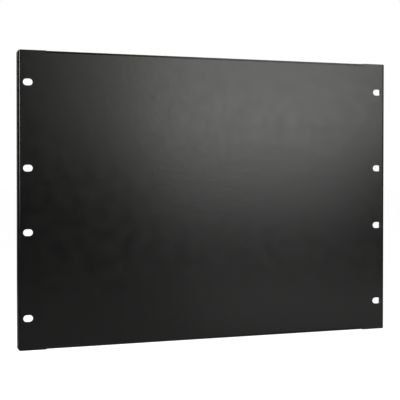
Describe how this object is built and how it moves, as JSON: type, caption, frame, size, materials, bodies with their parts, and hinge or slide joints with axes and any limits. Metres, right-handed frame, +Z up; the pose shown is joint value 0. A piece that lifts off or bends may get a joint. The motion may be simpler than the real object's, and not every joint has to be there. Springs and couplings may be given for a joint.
{
  "type": "rack blanking panel",
  "caption": "Black folded-steel filler panel for a 19-inch rack: a plain front with slotted ears and all four edges folded back.",
  "frame": {"origin": "middle of the panel, in the plane where the backs of the ears meet the rack's rails", "axes": "+X along the panel, to the right seen from the front; +Y into the rack; +Z up"},
  "size_m": [0.4886, 0.012, 0.3552],
  "materials": {
    "powder_coat": "satin black powder coat with a very fine texture"
  },
  "bodies": {
    "root": {"blanking_panel": "powder_coat"}
  },
  "joints": []
}
